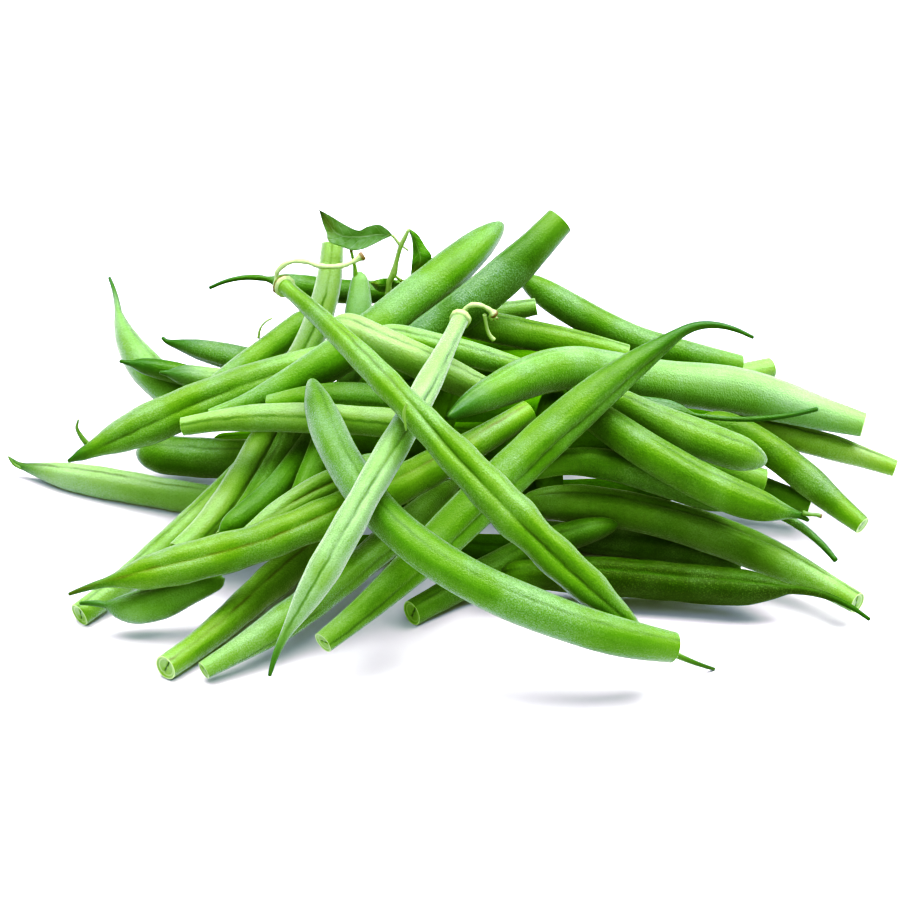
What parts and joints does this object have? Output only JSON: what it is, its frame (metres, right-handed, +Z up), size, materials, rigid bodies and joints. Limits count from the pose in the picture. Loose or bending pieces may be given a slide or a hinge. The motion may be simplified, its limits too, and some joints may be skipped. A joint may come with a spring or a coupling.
{
  "type": "green bean bundle",
  "caption": "Loose heap of fresh green beans lying across one another, with cut and capped stem ends, thin curved beaks and a small leafy sprig.",
  "frame": {"origin": "on the surface, under the middle of the heap's box", "axes": "+Z up; the low front edge of the heap faces -Y; the heap is longest along X"},
  "size_m": [0.2258, 0.1584, 0.0791],
  "materials": {
    "pod_green": "satin fresh pod skin",
    "pod_pale": "satin pale pod skin",
    "pod_dark": "satin dark pod skin",
    "leaf_green": "matte leaf"
  },
  "bodies": {
    "root": {"bean_base_back_outer": "pod_green", "bean_base_back_inner": "pod_green", "bean_base_middle": "pod_green", "bean_base_front": "pod_green", "bean_base_cross_left": "pod_green", "bean_base_cross_middle": "pod_green", "bean_core_arched": "pod_green", "bean_core_back": "pod_green", "bean_core_front": "pod_green", "bean_core_cross": "pod_green", "bean_core_top": "pod_green", "bean_back_far_left": "pod_pale", "bean_back_long_beak": "pod_dark", "bean_back_right": "pod_green", "bean_left_upper_dark": "pod_dark", "bean_left_upper_low": "pod_dark", "bean_left_upper_pale": "pod_pale", "bean_left_upper_thin": "pod_green", "bean_back_stalked": "pod_pale", "bean_back_upright": "pod_green", "bean_left_flat": "pod_pale", "bean_left_under": "pod_dark", "bean_left_long_tip": "pod_green", "bean_back_thick": "pod_green", "bean_crest_thin": "pod_pale", "bean_crest_level": "pod_green", "bean_crest_raised": "pod_green", "bean_crest_slim": "pod_green", "bean_crest_front": "pod_green", "bean_right_low_dark": "pod_dark", "bean_right_low_pale": "pod_pale", "bean_right_behind": "pod_pale", "bean_right_far_end": "pod_green", "bean_right_stem_end": "pod_green", "bean_right_thick": "pod_green", "bean_right_beaked_dark": "pod_dark", "bean_right_rounded": "pod_green", "bean_right_on_surface": "pod_dark", "bean_right_long": "pod_green", "bean_right_hooked": "pod_dark", "bean_right_upper": "pod_green", "bean_front_short": "pod_green", "bean_front_right": "pod_green", "bean_front_left_end": "pod_green", "bean_front_inner_a": "pod_green", "bean_front_inner_b": "pod_dark", "bean_front_inner_c": "pod_dark", "bean_front_inner_d": "pod_green", "bean_front_inner_e": "pod_pale", "bean_front_cut": "pod_green", "bean_front_middle": "pod_green", "bean_front_left_beak": "pod_green", "bean_top_level_thin": "pod_green", "bean_top_level": "pod_green", "bean_top_left_long": "pod_green", "bean_top_right_long": "pod_green", "bean_top_curved": "pod_green", "bean_top_pale": "pod_pale", "bean_top_diagonal": "pod_green", "leafy_sprig": "leaf_green"}
  },
  "joints": []
}
